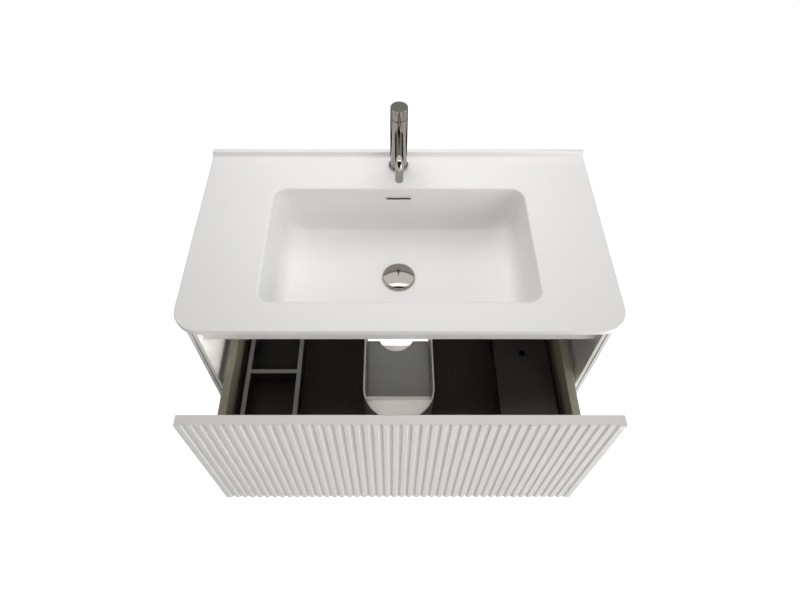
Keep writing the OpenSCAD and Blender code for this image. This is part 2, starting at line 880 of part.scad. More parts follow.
// Dished foot ring that the body stands in
module tap_base_ring() {
    color(C_CHROME) on_tap_axis(0) difference() {
        cylinder(r = foot_r, h = foot_h);
        translate([0, 0, -1]) cylinder(r = 14, h = foot_h + 2);
        translate([0, 0, foot_t]) cylinder(r = tap_r, h = foot_h);
    }
}

module tap_body() {
    color(C_CHROME) difference() {
        on_tap_axis(foot_t) cylinder(r = tap_r, h = cap_bottom - cap_gap - foot_t);
        on_tap_axis(cartridge_low) cylinder(r = cartridge_r, h = 60);
        on_tap_axis(spout_h) rod_y(spout_r, -tap_r - 5, -cartridge_r - 0.4);
        for (s = [-1, 1]) on_tap_axis(foot_t - 1) translate([s * inlet_xy[0], inlet_xy[1], 0])
            cylinder(r = inlet_r, h = inlet_l + 1);
        on_tap_axis(-1) translate([0, stud_y, 0]) cylinder(r = stud_r, h = 16);
    }
}

// Bent tube from the body out over the bowl and down
module tap_spout() {
    color(C_CHROME) difference() {
        spout_solid(spout_r, 0);
        spout_solid(spout_bore, 1);
    }
}

module spout_solid(r, past) {
    on_tap_axis(spout_h) {
        rod_y(r, -spout_reach + spout_bend, -cartridge_r - 0.4 + past);
        translate([0, -spout_reach + spout_bend, -spout_bend]) rotate([90, 0, -90])
            rotate_extrude(angle = 90) translate([spout_bend, 0]) circle(r = r);
        translate([0, -spout_reach, spout_end - spout_h - past])
            cylinder(r = r, h = spout_h - spout_end - spout_bend + past);
    }
}

module tap_aerator() {
    color(C_STEEL) on_tap_axis(spout_end + 0.8) translate([0, -spout_reach, 0]) difference() {
        cylinder(r = spout_bore, h = 7);
        for (i = [-1:1], j = [-1:1])
            translate([i * 3, j * 3, -1]) cylinder(r = 0.9, h = 9);
    }
}

module tap_cartridge() {
    color("ivory") on_tap_axis(cartridge_low) difference() {
        cylinder(r = cartridge_r, h = cartridge_h);
        translate([0, 0, 12]) cylinder(r = socket_r, h = cartridge_h);
    }
}

module tap_cartridge_nut() {
    color(C_BRASS) on_tap_axis(cartridge_low + cartridge_h) difference() {
        cylinder(r = cartridge_r, h = 7);
        translate([0, 0, -1]) cylinder(r = 8, h = 9);
    }
}

module tap_stud() {
    color(C_BRASS) on_tap_axis(-52) translate([0, stud_y, 0]) cylinder(r = stud_r, h = 66);
}

module tap_clamp_washer() {
    color(C_STEEL) on_tap_axis(-slab_t - washer_t) difference() {
        cylinder(r = washer_r, h = washer_t);
        translate([-12, -30, -1]) cube([24, 32, washer_t + 2]);
        translate([0, stud_y, -1]) cylinder(r = stud_r, h = washer_t + 2);
    }
}

module tap_clamp_nut() {
    color(C_BRASS) on_tap_axis(-slab_t - washer_t - clamp_nut_h)
    translate([0, stud_y, 0]) difference() {
        cylinder(r = 6.6, h = clamp_nut_h, $fn = 6);
        translate([0, 0, -1]) cylinder(r = stud_r, h = clamp_nut_h + 2);
    }
}

// Spindle that turns with the handle, with the pin that the handle tilts on
module tap_swivel() {
    color(C_STEEL) {
        on_tap_axis(cap_bottom - 22) cylinder(r = spindle_r, h = 24);
        on_tap_axis(cap_bottom) cylinder(r = 6, h = 14);
        on_tap_axis(pivot_h) rod_x(pin_r, -13, 13);
    }
}

// Handle cap with its pin lever. Behind the pivot its foot is cut back on a slope, so that
// it clears the body when the lever is lifted.
module tap_handle() {
    color(C_CHROME) {
        difference() {
            on_tap_axis(cap_bottom) cylinder(r = handle_r, h = tap_h - cap_bottom);
            on_tap_axis(cap_bottom - 1) cylinder(r = 9, h = 20);
            on_tap_axis(pivot_h) rod_x(pin_r + 0.05, -14, 14);
            on_tap_axis(pivot_h) rotate([tap_lift, 0, 0])
                translate([-2 * tap_r, -2 * tap_r, -20 - pivot_h + cap_bottom - cap_gap + 0.4])
                    cube([4 * tap_r, 4 * tap_r, 20]);
        }
        on_tap_axis(lever_h) rod_y(lever_r, -tap_r - lever_out, -12);
    }
}

// ---------------------------------------------------------------- nodes

module side_panel_left() side_panel(LEFT);
module side_panel_right() side_panel(RIGHT);
module hanger_left() hanger(LEFT);
module hanger_right() hanger(RIGHT);

basin_top();
overflow_trim();
side_panel_left();
side_panel_right();
edge_strips();
top_front_rail();
rear_rail_upper();
rear_rail_lower();
trap_shelf();
dowels();
cam_locks();
cam_bolts();
door_bumpers();
hanger_left();
hanger_right();
wall_plates();
slide_outer_upper_left();
slide_outer_upper_right();
slide_outer_lower_left();
slide_outer_lower_right();
cabinet_screws();
waste_body();
waste_top_seal();
waste_bottom_seal();
waste_nut();
waste_guide();
tap_base_ring();
tap_body();
tap_spout();
tap_aerator();
tap_cartridge();
tap_cartridge_nut();
tap_stud();
tap_clamp_washer();
tap_clamp_nut();
slide_middle_upper_left();
slide_middle_upper_right();
slide_middle_lower_left();
slide_middle_lower_right();
drawer_front();
upper_side_left();
upper_side_right();
upper_backs();
upper_floor();
trap_surround();
organiser_left();
organiser_divider();
organiser_right();
lower_side_left();
lower_side_right();
lower_floor();
lower_backs();
slide_inner_upper();
slide_inner_lower();
front_brackets();
drawer_screws();
organiser_lid();
waste_cap();
tap_swivel();
tap_handle();
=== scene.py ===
"""Looks of a wall-hung bathroom vanity: finishes, softened edges, the cast bowl and the tap.

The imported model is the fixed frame: X to the right, Y into the wall, Z up, in metres, with the
origin at the centre of the wall fixing holes.
"""

import json
import logging
import math
from dataclasses import dataclass
from enum import Enum

import bmesh
import bpy
from mathutils import Matrix, Quaternion, Vector

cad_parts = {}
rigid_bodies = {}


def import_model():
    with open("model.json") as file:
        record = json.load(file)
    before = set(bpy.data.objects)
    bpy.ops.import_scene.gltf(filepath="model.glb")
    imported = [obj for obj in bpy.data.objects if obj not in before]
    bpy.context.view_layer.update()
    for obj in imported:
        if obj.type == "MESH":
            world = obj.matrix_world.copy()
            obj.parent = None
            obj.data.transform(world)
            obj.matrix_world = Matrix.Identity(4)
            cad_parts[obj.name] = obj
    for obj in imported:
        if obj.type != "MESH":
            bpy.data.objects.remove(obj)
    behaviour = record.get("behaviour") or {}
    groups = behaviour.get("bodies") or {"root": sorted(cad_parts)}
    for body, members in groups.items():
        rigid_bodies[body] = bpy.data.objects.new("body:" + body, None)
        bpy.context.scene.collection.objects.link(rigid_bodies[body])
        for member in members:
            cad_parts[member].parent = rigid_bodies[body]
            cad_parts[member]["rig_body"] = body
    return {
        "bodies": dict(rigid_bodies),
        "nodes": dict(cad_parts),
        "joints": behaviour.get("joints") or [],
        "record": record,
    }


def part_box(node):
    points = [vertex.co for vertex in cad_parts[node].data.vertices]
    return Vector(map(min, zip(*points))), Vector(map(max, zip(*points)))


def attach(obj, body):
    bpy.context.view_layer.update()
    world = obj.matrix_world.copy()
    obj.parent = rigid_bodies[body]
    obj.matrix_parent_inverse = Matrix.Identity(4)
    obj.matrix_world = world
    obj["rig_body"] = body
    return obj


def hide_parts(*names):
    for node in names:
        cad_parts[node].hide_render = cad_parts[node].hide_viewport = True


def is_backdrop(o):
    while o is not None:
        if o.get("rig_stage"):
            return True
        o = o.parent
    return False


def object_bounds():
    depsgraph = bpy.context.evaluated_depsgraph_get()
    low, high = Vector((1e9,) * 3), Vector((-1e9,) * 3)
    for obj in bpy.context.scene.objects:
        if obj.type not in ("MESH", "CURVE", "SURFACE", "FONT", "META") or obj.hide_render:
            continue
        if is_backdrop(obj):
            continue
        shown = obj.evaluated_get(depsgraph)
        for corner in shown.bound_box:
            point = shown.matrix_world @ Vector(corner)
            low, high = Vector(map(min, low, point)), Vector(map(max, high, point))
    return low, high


LOG = logging.getLogger("vanity")

MM = 0.001
SAME_PLACE = 1e-6  # corners nearer than this are one
SHARP_ANGLE = math.radians(32)  # an edge that bends more than this is sharp
FLAT_ANGLE = math.radians(0.4)  # facets that bend less than this are one face
QUARTER = math.radians(90)
LEVEL = 0.99  # least upward part of a level face's normal

SLAB_TOP = 0.110
WASTE_Y = -0.260
TAP_FOOT = Vector((0.0, -0.044, SLAB_TOP))  # where the tap's axis meets the slab

Shape = bmesh.types.BMesh
Loop = list[bmesh.types.BMEdge]
Outline = list[tuple[float, float]]
Place = tuple[float, float, float]
Tint = tuple[float, float, float]


# ---------------- finishes


class Pattern(Enum):
    """What the fine structure of a finish is."""

    CAST = "cast"
    LACQUER = "lacquer"
    LAMINATE = "laminate"
    MOULDED = "moulded"
    DRAWN_METAL = "drawn_metal"
    POLISHED = "polished"


def srgb(red: int, green: int, blue: int) -> Tint:
    """Turns a colour in screen values into a linear one.

    Args:
        red: Red, from 0 to 255.
        green: Green, likewise.
        blue: Blue, likewise.

    Returns:
        The linear colour.
    """

    def linear(value: int) -> float:
        """Undoes the screen's curve for one channel."""
        share = value / 255
        return share / 12.92 if share <= 0.04045 else ((share + 0.055) / 1.055) ** 2.4

    return linear(red), linear(green), linear(blue)


def grey(level: float) -> tuple[float, float, float, float]:
    """Gives an opaque grey of one linear level."""
    return level, level, level, 1.0


class Wiring:
    """A node tree that is being filled."""

    def __init__(self, tree: bpy.types.NodeTree) -> None:
        """Starts with an empty tree."""
        self.tree = tree
        tree.nodes.clear()

    def add(self, kind: str, **inputs: object) -> bpy.types.Node:
        """Adds a node.

        Args:
            kind: The node's type.
            inputs: What its inputs get, as in fill.

        Returns:
            The new node.
        """
        node = self.tree.nodes.new(kind)
        self.fill(node, **inputs)
        return node

    def join(self, kind: str, *sources: object, operation: str = "") -> bpy.types.NodeSocket:
        """Adds a node whose inputs share a name, such as a sum or a mix of shaders.

        Args:
            kind: The node's type.
            sources: Values or sockets, in the order of its inputs.
            operation: What a math node does.

        Returns:
            Its result.
        """
        node = self.add(kind)
        if operation:
            node.operation = operation
        for source, target in zip(sources, node.inputs):
            self.feed(source, target)
        return node.outputs[0]

    def fill(self, node: bpy.types.Node, **inputs: object) -> None:
        """Fills inputs of a node.

        Args:
            node: The node.
            inputs: Values or sockets by input name, with underscores for spaces.
        """
        for name, source in inputs.items():
            self.feed(source, node.inputs[name.replace("_", " ")])

    def feed(self, source: object, target: bpy.types.NodeSocket) -> None:
        """Links an input, or gives it a value of its own.

        Args:
            source: The value, or the socket to link.
            target: The input.
        """
        if isinstance(source, bpy.types.NodeSocket):
            self.tree.links.new(source, target)
        else:
            target.default_value = source


class SurfaceEffects:
    """Shader node groups that several finishes share, each built once."""

    def __init__(self) -> None:
        """Builds the groups."""
        self.tone = self._tone()
        self.relief = self._relief()
        self.wipe = self._wipe()

    @staticmethod
    def _new(
        name: str, inputs: dict[str, str], output: tuple[str, str]
    ) -> tuple[Wiring, dict[str, bpy.types.NodeSocket], bpy.types.NodeSocket]:
        """Starts a group.

        Args:
            name: The group's name.
            inputs: Kind of socket by input name.
            output: Name and kind of the one output.

        Returns:
            The group's wiring, the sockets that bring its inputs by name, and its output.
        """
        group = bpy.data.node_groups.new(name, "ShaderNodeTree")
        for label, kind in inputs.items():
            group.interface.new_socket(name=label, in_out="INPUT", socket_type="NodeSocket" + kind)
        label, kind = output
        group.interface.new_socket(name=label, in_out="OUTPUT", socket_type="NodeSocket" + kind)
        wiring = Wiring(group)
        entry = wiring.add("NodeGroupInput")
        given = {key: entry.outputs[key] for key in inputs}
        return wiring, given, wiring.add("NodeGroupOutput").inputs[label]

    def _tone(self) -> bpy.types.NodeTree:
        """Builds the colour that drifts a little lighter and darker over the surface.

        Returns:
            The group.
        """
        inputs = {"Vector": "Vector", "Tint": "Color", "Scale": "Float", "Drift": "Float"}
        wiring, given, result = self._new("tone_drift", inputs, ("Color", "Color"))
        place = {"Vector": given["Vector"], "Scale": given["Scale"]}
        noise = wiring.add("ShaderNodeTexNoise", **place, Detail=5.0, Roughness=0.6)
        centred = wiring.join("ShaderNodeMath", noise.outputs["Fac"], 0.5, operation="SUBTRACT")
        swing = wiring.join(
            "ShaderNodeMath", centred, given["Drift"], 1.0, operation="MULTIPLY_ADD"
        )
        shade = wiring.add("ShaderNodeHueSaturation", Color=given["Tint"], Value=swing)
        wiring.feed(shade.outputs["Color"], result)
        return wiring.tree

    def _relief(self) -> bpy.types.NodeTree:
        """Builds the height of a fine structure: broad waves with a finer grit on them.

        Returns:
            The group.
        """
        inputs = {"Vector": "Vector", "Scale": "Float"}
        wiring, given, result = self._new("fine_relief", inputs, ("Height", "Float"))
        finer = wiring.join("ShaderNodeMath", given["Scale"], 3.7, operation="MULTIPLY")
        fine = {"Vector": given["Vector"], "Scale": finer}
        broad = wiring.add("ShaderNodeTexNoise", **given, Detail=2.0, Roughness=0.5).outputs["Fac"]
        grit = wiring.add("ShaderNodeTexNoise", **fine, Detail=3.0, Roughness=0.7).outputs["Fac"]
        total = wiring.join("ShaderNodeMath", grit, 0.35, broad, operation="MULTIPLY_ADD")
        wiring.feed(total, result)
        return wiring.tree

    def _wipe(self) -> bpy.types.NodeTree:
        """Builds the roughness that varies in soft patches, as on a wiped surface.

        Returns:
            The group.
        """
        inputs = {"Vector": "Vector", "Scale": "Float", "Low": "Float", "High": "Float"}
        wiring, given, result = self._new("wiped_patches", inputs, ("Roughness", "Float"))
        place = {"Vector": given["Vector"], "Scale": given["Scale"]}
        noise = wiring.add("ShaderNodeTexNoise", **place, Detail=4.0, Roughness=0.55)
        span = wiring.add(
            "ShaderNodeMapRange",
            Value=noise.outputs["Fac"],
            From_Min=0.3,
            From_Max=0.7,
            To_Min=given["Low"],
            To_Max=given["High"],
        )
        wiring.feed(span.outputs["Result"], result)
        return wiring.tree


@dataclass(frozen=True)
class Structure:
    """How fine and how strong a pattern is: scales per metre, and a height in metres."""

    stretch: tuple[float, float, float]
    tone_scale: float
    relief_scale: float
    relief_height: float
    wipe_scale: float


EVEN = (1.0, 1.0, 1.0)
STRUCTURES: dict[Pattern, Structure] = {
    Pattern.CAST: Structure(EVEN, 6.0, 260.0, 0.03 * MM, 9.0),
    Pattern.LACQUER: Structure(EVEN, 9.0, 420.0, 0.04 * MM, 14.0),
    Pattern.LAMINATE: Structure((9.0, 1.0, 9.0), 34.0, 120.0, 0.06 * MM, 20.0),
    Pattern.MOULDED: Structure(EVEN, 30.0, 900.0, 0.08 * MM, 25.0),
    Pattern.DRAWN_METAL: Structure((12.0, 1.0, 12.0), 30.0, 260.0, 0.02 * MM, 30.0),
    Pattern.POLISHED: Structure(EVEN, 20.0, 40.0, 0.002 * MM, 30.0),
}


@dataclass(frozen=True)
class Finish:
    """One surface finish: its colour, its gloss and its fine structure."""

    slot: str
    tint: Tint
    pattern: Pattern
    roughness: tuple[float, float]
    drift: float = 0.06
    metallic: float = 0.0
    coat: float = 0.0
    specular: float = 0.5

    def material(self, effects: SurfaceEffects) -> bpy.types.Material:
        """Builds the node material.

        Args:
            effects: The shared node groups.

        Returns:
            The material, named after the record's slot.
        """
        made = bpy.data.materials.new("finish_" + self.slot)
        made.use_nodes = True
        wiring = Wiring(made.node_tree)
        shape = STRUCTURES[self.pattern]
        low, high = self.roughness
        spot = wiring.add("ShaderNodeTexCoord").outputs["Object"]
        stretch = wiring.add("ShaderNodeMapping", Vector=spot, Scale=shape.stretch)
        place = stretch.outputs["Vector"]
        tone = self._effect(
            wiring,
            effects.tone,
            Vector=place,
            Tint=(*self.tint, 1.0),
            Scale=shape.tone_scale,
            Drift=self.drift,
        )
        relief = self._effect(wiring, effects.relief, Vector=place, Scale=shape.relief_scale)
        wipe = self._effect(
            wiring, effects.wipe, Vector=place, Scale=shape.wipe_scale, Low=low, High=high
        )
        bump = wiring.add(
            "ShaderNodeBump", Strength=1.0, Distance=shape.relief_height, Height=relief
        )
        shader = wiring.add(
            "ShaderNodeBsdfPrincipled",
            Base_Color=tone,
            Roughness=wipe,
            Normal=bump.outputs["Normal"],
            Metallic=self.metallic,
            Coat_Weight=self.coat,
            Coat_Roughness=0.08,
            Specular_IOR_Level=self.specular,
        )
        wiring.add("ShaderNodeOutputMaterial", Surface=shader.outputs["BSDF"])
        return made

    @staticmethod
    def _effect(
        wiring: Wiring, group: bpy.types.NodeTree, **inputs: object
    ) -> bpy.types.NodeSocket:
        """Places a shared group in the material.

        Args:
            wiring: The material's wiring.
            group: The group.
            inputs: What its inputs get.

        Returns:
            Its output.
        """
        node = wiring.add("ShaderNodeGroup")
        node.node_tree = group
        wiring.fill(node, **inputs)
        return node.outputs[0]


FINISHES: tuple[Finish, ...] = (
    Finish("cast_stone", srgb(238, 237, 235), Pattern.CAST, (0.30, 0.38), 0.02),
    Finish("body_lacquer", srgb(226, 223, 219), Pattern.LACQUER, (0.46, 0.56), 0.03),
    Finish("front_lacquer", srgb(226, 223, 219), Pattern.LACQUER, (0.46, 0.56), 0.03),
    Finish("box_taupe", srgb(178, 172, 150), Pattern.LAMINATE, (0.42, 0.55), 0.35),
    Finish("floor_dark", srgb(50, 47, 42), Pattern.LAMINATE, (0.45, 0.6), 0.5),
    # shelf_grey is also the painted highlight along the organiser walls' top edges.
    Finish("shelf_grey", srgb(160, 160, 156), Pattern.LAMINATE, (0.42, 0.55), 0.12),
    # box_pale: a pale board colour raised to near-white, partly painted light that makes up for
    # the little light reaching the lower box.
    Finish("box_pale", srgb(236, 232, 228), Pattern.LAMINATE, (0.42, 0.55), 0.06),
    Finish("surround_pale", srgb(122, 117, 106), Pattern.DRAWN_METAL, (0.34, 0.46), 0.1),
    Finish("organiser_black", srgb(38, 37, 35), Pattern.MOULDED, (0.30, 0.42), 0.2),
    Finish("lid_grey", srgb(52, 50, 49), Pattern.MOULDED, (0.45, 0.6), 0.15),
    Finish("slide_steel", srgb(212, 212, 210), Pattern.LACQUER, (0.35, 0.48), 0.05),
    Finish("satin_steel", srgb(188, 186, 182), Pattern.DRAWN_METAL, (0.30, 0.42), 0.1, 1.0),
    Finish("zinc_steel", srgb(196, 198, 200), Pattern.DRAWN_METAL, (0.30, 0.5), 0.15, 1.0),
    # chrome: darker than bright chrome, painted shade standing in for the dark room that the tap
    # reflects.
    Finish("chrome", srgb(165, 160, 154), Pattern.POLISHED, (0.04, 0.08), 0.02, 1.0),
    Finish("black_rubber", srgb(40, 39, 38), Pattern.MOULDED, (0.65, 0.85), 0.2),
    Finish("brass", srgb(200, 170, 110), Pattern.DRAWN_METAL, (0.25, 0.4), 0.15, 1.0),
    Finish("white_plastic", srgb(230, 228, 222), Pattern.MOULDED, (0.35, 0.5), 0.03),
    Finish("beech", srgb(205, 172, 130), Pattern.LAMINATE, (0.6, 0.75), 0.3),
)


class Wardrobe:
    """The finishes as materials, and the dressing of CAD nodes with them."""

    def __init__(self) -> None:
        """Builds one material for each finish."""
        effects = SurfaceEffects()
        self.by_slot = {finish.slot: finish.material(effects) for finish in FINISHES}

    def dress_nodes(self, frame: dict) -> None:
        """Gives each CAD node the finish that the record names for it.

        Args:
            frame: The loaded frame.
        """
        for row in frame["record"]["subparts"]:
            node = frame["nodes"][row["node"]]
            for place in node.material_slots:
                place.material = self.by_slot[row["material_slot"]]


# ---------------- mesh tools


def object_of(shape: Shape, name: str) -> bpy.types.Object:
    """Makes an object of a shape.

    Args:
        shape: The shape. It is freed.
        name: Name of the object and its mesh.

    Returns:
        The object.
    """
    mesh = bpy.data.meshes.new(name)
    shape.to_mesh(mesh)
    shape.free()
    made = bpy.data.objects.new(name, mesh)
    bpy.context.scene.collection.objects.link(made)
    return made


def merge(shape: Shape) -> None:
    """Merges the corners that lie in one place."""
    bmesh.ops.remove_doubles(shape, verts=shape.verts, dist=SAME_PLACE)


def join_flats(shape: Shape) -> None:
    """Joins the facets that lie in one plane."""
    bmesh.ops.dissolve_limit(shape, angle_limit=FLAT_ANGLE, verts=shape.verts, edges=shape.edges)


def face_outwards(shape: Shape) -> None:
    """Turns every face outwards."""
    bmesh.ops.recalc_face_normals(shape, faces=shape.faces)


def tip_forward(shape: Shape) -> None:
    """Turns a shape about X, so that its upper side faces the front."""
    bmesh.ops.transform(shape, matrix=Matrix.Rotation(QUARTER, 4, "X"), verts=shape.verts)


def verts_in(parts: list[object]) -> list[bmesh.types.BMVert]:
    """Picks the vertices out of what an operator gives back."""
    return [part for part in parts if isinstance(part, bmesh.types.BMVert)]


def raise_faces(shape: Shape, faces: list[bmesh.types.BMFace], height: float) -> None:
    """Extrudes faces upwards."""
    raised = bmesh.ops.extrude_face_region(shape, geom=faces)["geom"]
    bmesh.ops.translate(shape, vec=(0.0, 0.0, height), verts=verts_in(raised))


def bevel(
    shape: Shape, parts: list[object], width: float, segments: int, affect: str = "EDGES"
) -> dict[str, list]:
    """Rounds edges or corners of a shape.

    Args:
        shape: The shape.
        parts: Its edges, or its vertices.
        width: Width of the rounding.
        segments: Facets of the rounding.
        affect: Which of the two the parts are.

    Returns:
        The new parts by kind.
    """
    return bmesh.ops.bevel(
        shape,
        geom=parts,
        offset=width,
        offset_type="OFFSET",
        affect=affect,
        segments=segments,
        profile=0.5,
        material=-1,
        clamp_overlap=False,
    )


def ease(shape: Shape, radius: float, shortest: float = 0.0, segments: int = 2) -> None:
    """Rounds the sharp edges of a shape.

    Args:
        shape: The shape.
        radius: Width of the rounding.
        shortest: Edges shorter than this stay sharp.
        segments: Facets of the rounding.
    """
    sharp = [
        edge
        for edge in shape.edges
        if edge.is_manifold
        and edge.calc_face_angle(0.0) > SHARP_ANGLE
        and edge.calc_length() >= shortest
    ]
    bevel(shape, sharp, radius, segments)


def block(low: Vector, high: Vector) -> Shape:
    """Makes a plain block, to be cut and eased.

    Args:
        low: Its low corner.
        high: Its high corner.

    Returns:
        The block.
    """
    shape = bmesh.new()
    bmesh.ops.create_cube(shape, size=1.0)
    bmesh.ops.scale(shape, vec=high - low, verts=shape.verts)
    bmesh.ops.translate(shape, vec=(high + low) / 2, verts=shape.verts)
    return shape


def lathe(profile: Outline, foot: Vector, steps: int = 96) -> Shape:
    """Spins a profile about a vertical axis.

    Args:
        profile: Pairs of radius and height, in metres, along the outline.
        foot: Point on the axis at height 0.
        steps: Facets round the axis.

    Returns:
        The closed shape, with its normals outwards.
    """
    shape = bmesh.new()
    corners = [shape.verts.new(foot + Vector((r, 0.0, z))) for r, z in profile]
    for start, end in zip(corners, corners[1:]):
        shape.edges.new((start, end))
    bmesh.ops.spin(
        shape,
        geom=[*shape.verts, *shape.edges],
        cent=foot,
        axis=(0.0, 0.0, 1.0),
        angle=2 * math.pi,
        steps=steps,
        use_merge=True,
    )
    merge(shape)
    face_outwards(shape)
    return shape


@dataclass(frozen=True)
class Ring:
    """A rounded rectangle, level, as one section of a loft."""

    half_w: float
    half_l: float
    corner: float
    z: float
    fullest: float = 0.998

    def draw(self, shape: Shape, centre: Vector, facets: int) -> Loop:
        """Draws the outline. A corner stays a little under the half sides, so no side is lost.

        Args:
            shape: The shape to draw in.
            centre: Centre in X and Y.
            facets: Facets of each corner.

        Returns:
            Its edges.
        """
        sheet = bmesh.ops.create_grid(shape, x_segments=1, y_segments=1, size=1.0)["verts"]
        bmesh.ops.scale(shape, vec=(self.half_w, self.half_l, 1.0), verts=sheet)
        bmesh.ops.translate(shape, vec=(centre.x, centre.y, self.z), verts=sheet)
        width = min(self.corner, self.fullest * self.half_w, self.fullest * self.half_l)
        rounded = bevel(shape, sheet, width, facets, "VERTICES")
        flat = {face for vert in rounded["verts"] for face in vert.link_faces}
        outline = list({edge for face in flat for edge in face.edges})
        bmesh.ops.delete(shape, geom=list(flat), context="FACES_ONLY")
        return outline

    def towards(self, end: "Ring", share: float) -> "Ring":
        """Gives a ring on the way to another.

        Args:
            end: The other ring.
            share: How much of the way it lies along.

        Returns:
            The ring between.
        """
        return Ring(
            self.half_w + (end.half_w - self.half_w) * share,
            self.half_l + (end.half_l - self.half_l) * share,
            self.corner + (end.corner - self.corner) * share,
            self.z + (end.z - self.z) * share,
        )


def loft(rings: list[Ring], centre: Vector, facets: int = 12) -> Shape:
    """Skins a run of rings and closes both ends.

    Args:
        rings: The sections, in order.
        centre: Their centre in X and Y.
        facets: Facets of each corner.

    Returns:
        The closed shape, with its normals outwards.
    """
    shape = bmesh.new()
    loops = [ring.draw(shape, centre, facets) for ring in rings]
    for upper, lower in zip(loops, loops[1:]):
        bmesh.ops.bridge_loops(shape, edges=[*upper, *lower])
    for end in (loops[0], loops[-1]):
        bmesh.ops.contextual_create(shape, geom=end)
    face_outwards(shape)
    return shape


class Cut(Enum):
    """How a tool shape changes the body of a casting."""

    JOIN = "UNION"
    REMOVE = "DIFFERENCE"


def combine(body: Shape, tools: list[tuple[Cut, Shape]]) -> Shape:
    """Joins shapes to a body and cuts others out of it, in order.

    Args:
        body: The shape to start from. It is freed.
        tools: The other shapes, with what each does. They are freed.

    Returns:
        The result.
    """
    made = object_of(body, "scratch")
    helpers = []
    for cut, tool in tools:
        helper = object_of(tool, "scratch")
        step = made.modifiers.new("cut", "BOOLEAN")
        step.operation = cut.value
        step.solver = "EXACT"
        step.object = helper
        helpers.append(helper)
    bpy.context.view_layer.update()
    graph = bpy.context.evaluated_depsgraph_get()
    result = bmesh.new()
    result.from_object(made, graph)
    for thing in (made, *helpers):
        bpy.data.objects.remove(thing)
    merge(result)
    return result


@dataclass
class Maker:
    """Turns finished shapes into pieces that ride on the frame."""

    frame: dict
    wardrobe: Wardrobe

    def slot_of(self, node: str) -> str:
        """Says which finish the record gives a node."""
        rows = self.frame["record"]["subparts"]
        return next(row["material_slot"] for row in rows if row["node"] == node)

    def copy_of(self, node: str) -> Shape:
        """Copies a CAD node's loose facets, and merges their corners.

        Args:
            node: The CAD node.

        Returns:
            The copy.
        """
        shape = bmesh.new()
        shape.from_mesh(self.frame["nodes"][node].data)
        merge(shape)
        return shape

    def piece(
        self, shape: Shape, name: str, nodes: tuple[str, ...], slot: str = ""
    ) -> bpy.types.Object:
        """Makes an object of a shape, dresses it, and puts it in the place of CAD nodes.

        Args:
            shape: The finished shape. It is freed.
            name: The piece's name.
            nodes: The CAD nodes that the piece stands for. It rides on the first one's body.
            slot: The finish, if it isn't the first node's.

        Returns:
            The piece.
        """
        made = object_of(shape, name)
        self.shade(made)
        slot = slot or self.slot_of(nodes[0])
        made.data.materials.append(self.wardrobe.by_slot[slot])
        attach(made, self.frame["nodes"][nodes[0]]["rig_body"])
        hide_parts(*nodes)
        LOG.info("%s: %d faces for %s", name, len(made.data.polygons), ", ".join(nodes))
        return made

    @staticmethod
    def shade(made: bpy.types.Object) -> None:
        """Smooths the rounded stretches and keeps the flats flat.

        Args:
            made: The piece.
        """
        for face in made.data.polygons:
            face.use_smooth = True
        made.data.set_sharp_from_angle(angle=SHARP_ANGLE)
        flats = made.modifiers.new("flat_faces", "WEIGHTED_NORMAL")
        flats.keep_sharp = True

    def eased_piece(self, node: str, radius: float, shortest: float = 6 * MM) -> bpy.types.Object:
        """Copies a CAD node with its long sharp edges eased, as a real board or casing has them.

        Args:
            node: The CAD node, which the piece stands for.
            radius: Width of the easing.
            shortest: Edges shorter than this, such as those round a screw hole, stay sharp.

        Returns:
            The piece.
        """
        shape = self.copy_of(node)
        join_flats(shape)
        ease(shape, radius, shortest)
        return self.piece(shape, "soft_" + node, (node,))

    def rim(self, node: str, slot: str, thick: float = 0.3 * MM) -> bpy.types.Object:
        """Lays a thin paler band along the top edge of a thin-walled node. On the organiser walls
        it is a painted highlight where the top edge catches the light; on the trap surround it is
        a paler top edge.

        Args:
            node: The CAD node whose top faces the band follows.
            slot: The band's paler material.
            thick: How far the band stands up.

        Returns:
            The band.
        """
        shape = self.copy_of(node)
        top = max(vert.co.z for vert in shape.verts)
        others = [
            face
            for face in shape.faces
            if face.normal.z < LEVEL or top - face.calc_center_median().z > thick
        ]
        bmesh.ops.delete(shape, geom=others, context="FACES")
        bmesh.ops.solidify(shape, geom=shape.faces[:], thickness=-thick)
        face_outwards(shape)
        return self.piece(shape, "rim_" + node, (node,), slot)


# ---------------- basin top


@dataclass(frozen=True)
class Span:
    """A block that is centred in X, between two depths and two drops below the slab's top."""

    half_w: float
    y: tuple[float, float]
    drops: tuple[float, float]

    def block(self) -> Shape:
        """Makes the block."""
        low = Vector((-self.half_w, self.y[0], SLAB_TOP - self.drops[1]))
        return block(low, Vector((self.half_w, self.y[1], SLAB_TOP - self.drops[0])))


